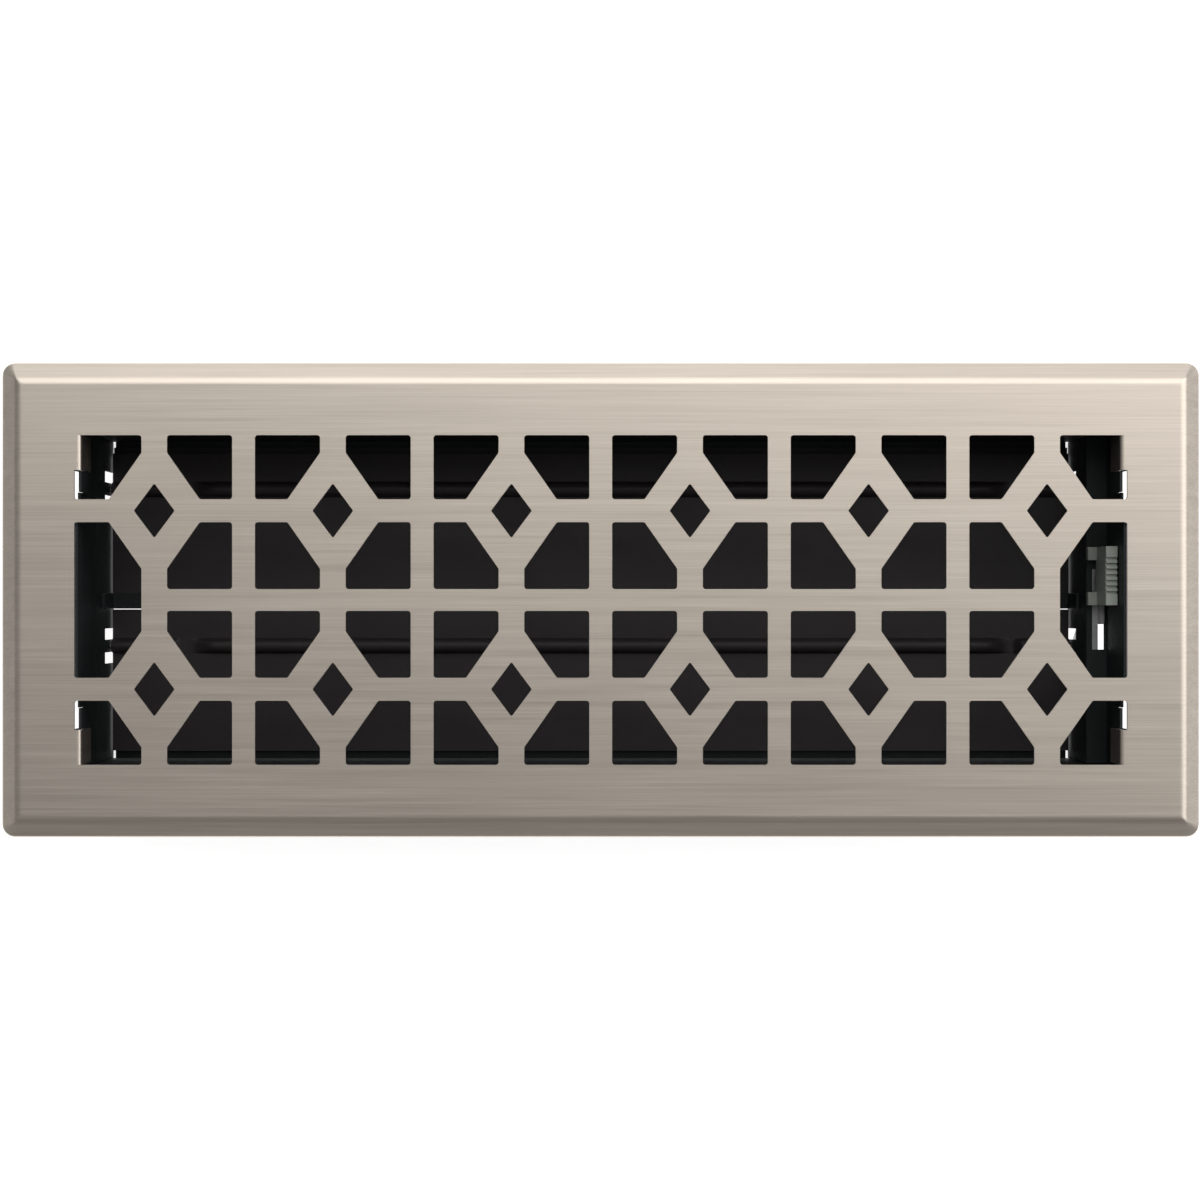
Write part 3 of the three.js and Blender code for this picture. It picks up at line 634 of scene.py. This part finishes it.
# Where the bead is full height, and where it has died away, from left to right.
bead_course = [(-148.5, 1), (-131.6, 1), (-127.8, 0), (-124.6, 0), (-116.5, 1), (116.5, 1), (124.6, 0),
               (125.2, 0), (128.2, 1), (142.4, 1)]


def bead_height(x):
    for (left, low), (right, high) in zip(bead_course, bead_course[1:]):
        if x <= right * mm:
            t = (x / mm - left) / (right - left)
            return low + (high - low) * t * t * (3 - 2 * t)
    return 1.0


def blade_section(height, long, reach):
    """The blade across its pivot line, starting at its long edge and coming back underneath."""
    arc = [math.pi * (1 - step / 12) for step in range(13)]
    over = [(-bead_outer - bead_root, blade_flat), (-bead_outer - bead_root * 0.3, blade_flat + bead_root * 0.3)]
    over += [(bead_outer * math.cos(a), bead_outer * math.sin(a)) for a in arc]
    over += [(-y, z) for y, z in over[1::-1]]
    under = [(bead_inner, blade_flat - blade_sheet)]
    under += [(bead_inner * math.cos(a), bead_inner * math.sin(a)) for a in arc[::-1]]
    under += [(-bead_inner, blade_flat - blade_sheet)]
    low = blade_flat - blade_sheet
    section = [(-long, low), (-long, blade_flat)]
    section += [(y, blade_flat + height * (z - blade_flat)) for y, z in over]
    section += [(blade_short, blade_flat)]
    if reach > blade_short + weld:
        section += [
            (blade_short, blade_flat - step_down), (reach, blade_flat - step_down), (reach, low - step_down),
            (blade_short - blade_sheet, low - step_down), (blade_short - blade_sheet, low),
        ]
    else:
        section += [(blade_short, low)]
    section += [(y, low + height * (z - low)) for y, z in under]
    return section


stations = []
for (left, low), (right, high) in zip(bead_course, bead_course[1:]):
    steps = 1 if low == high else 8
    stations += [(left + (right - left) * step / steps) * mm for step in range(steps)]
stations.append(blade_ends[1])

for where, pivot_y in (("back", back_pivot), ("front", front_pivot)):
    node = "damper_blade_" + where
    low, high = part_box(node)
    long = pivot_y - low[1]
    reach = high[1] - pivot_y
    blade = bmesh.new()
    rings = []
    for x in stations:
        section = blade_section(bead_height(x), long, reach)
        rings.append([blade.verts.new((x, pivot_y + y, pivot_height + z)) for y, z in section])
    for ring, following in zip(rings, rings[1:]):
        for i, corner in enumerate(ring):
            j = (i + 1) % len(ring)
            blade.faces.new((corner, following[i], following[j], ring[j]))
    blade.faces.new(rings[0][::-1])
    blade.faces.new(rings[-1])
    bmesh.ops.recalc_face_normals(blade, faces=blade.faces)
    pressed = piece_from(node + "_satin", blade, satin)
    round_edges(pressed, 0.14 * mm, 2, 75)
    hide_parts(node)
    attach(pressed, where + "_blade")

# ---- pins, cranks and slider linkage ----
# Zinc-plated steel: turned pins, punched cranks, a hemmed link bar and the strip that is riveted to it.
zinc = Finish("zinc_plate")
bloom = noise(zinc, (240, 240, 240), 3)
scratches = noise(zinc, (2200, 900, 120), 2)
coat(
    zinc, [(0.30, 0.31, 0.31), (0.56, 0.57, 0.56)], bloom * 0.6 + scratches * 0.4,
    bloom * 0.2 + 0.28, 1.0, 0.5, scratches, 0.02 * mm, 0.3,
)
steel_nodes = [name for name in frame["nodes"] if name.startswith(("pivot_pin", "crank", "link_rivet"))]
for name in steel_nodes:
    node = frame["nodes"][name]
    for slot in node.material_slots:
        slot.material = zinc.material
for name in ("link_bar", "slider_strip"):
    bar = pressed_copy(name + "_plated", name, zinc, 0.5 * mm, 2 * mm)
    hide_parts(name)
    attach(bar, "slider")

# ---- grip ----
# Moulded in one piece in dark grey plastic: a block with two feet that ride on the ledge, a pocket for the
# strip, and six thumb ribs along its top.
plastic = Finish("grey_moulding")
texture = noise(plastic, (1800, 1800, 1800), 2)
flow = noise(plastic, (70, 120, 90), 2)
coat(
    plastic, [(0.27, 0.30, 0.265), (0.43, 0.465, 0.41)], texture * 0.35 + flow * 0.65,
    texture * 0.2 + 0.38, 0.0, 0.5, texture, 0.04 * mm, 0.4,
)
grip_low, grip_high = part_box("slider_grip")
strip_low, strip_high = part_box("slider_strip")
grip_thick = 3.3 * mm
grip_bottom = 30.7 * mm
end_block = 3.2 * mm
groove_depth = 0.8 * mm
rib_count = 6
rib_width = 0.75 * mm
rib_sink = 0.3 * mm
foot_width = 3.8 * mm
foot_height = 3 * mm
pocket_gap = 0.3 * mm
pocket_top = 42.7 * mm
tongue_front = 1 * mm
grip_inner = grip_high[0] - grip_thick
front, back, high = grip_low[1], grip_high[1], grip_high[2]
bed = high - groove_depth
body = prism([
    (front, grip_bottom), (back, grip_bottom), (back, high), (back - end_block, high),
    (back - end_block, bed), (front + end_block, bed), (front + end_block, high), (front, high),
], 0, grip_inner, grip_high[0])
grip = piece_from("slider_grip_moulded", body, plastic)


def oblong(low, high):
    return prism([(low[1], low[2]), (high[1], low[2]), (high[1], high[2]), (low[1], high[2])], 0, low[0], high[0])


for foot_front in (front, back - foot_width):
    foot = oblong(
        (grip_low[0], foot_front, grip_low[2]),
        (grip_inner + 1 * mm, foot_front + foot_width, grip_low[2] + foot_height),
    )
    combine(grip, piece_from("foot", foot, plastic), "UNION")
pocket = oblong(
    (strip_low[0] - pocket_gap, tongue_front - pocket_gap, grip_bottom - 1 * mm),
    (strip_high[0] + pocket_gap, strip_high[1] + pocket_gap, pocket_top),
)
combine(grip, piece_from("pocket", pocket, plastic), "DIFFERENCE")
round_edges(grip, 0.2 * mm, 2)

rib_tree = Tree("Thumb ribs", {
    "Rib count": "NodeSocketInt", "First rib": "NodeSocketVector", "Rib step": "NodeSocketVector",
    "Rib size": "NodeSocketVector", "Finish": "NodeSocketMaterial",
})
t = rib_tree
row = t.add("GeometryNodeMeshLine", {"mode": "OFFSET"}, {
    "Count": t.given("Rib count"), "Start Location": t.given("First rib"), "Offset": t.given("Rib step"),
})
rib = t.add("GeometryNodeMeshCube", None, {"Size": t.given("Rib size")})
ribs = t.add("GeometryNodeInstanceOnPoints", None, {"Points": row, "Instance": rib})
joined = t.group.nodes.new("GeometryNodeJoinGeometry")
for part in (t.given("Geometry"), ribs):
    t.group.links.new(part, joined.inputs[0])
t.finish(joined.outputs[0])
groove = (back - front - 2 * end_block - rib_count * rib_width) / (rib_count + 1)
rib_tall = groove_depth + rib_sink
rib_tree.made(grip, {
    "Rib count": rib_count,
    "First rib": (
        (grip_inner + grip_high[0]) / 2,
        front + end_block + groove + rib_width / 2,
        high - rib_tall / 2,
    ),
    "Rib step": (0, groove + rib_width, 0),
    "Rib size": (grip_thick - 0.1 * mm, rib_width, rib_tall),
    "Finish": plastic.material,
})
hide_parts("slider_grip")
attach(grip, "slider")
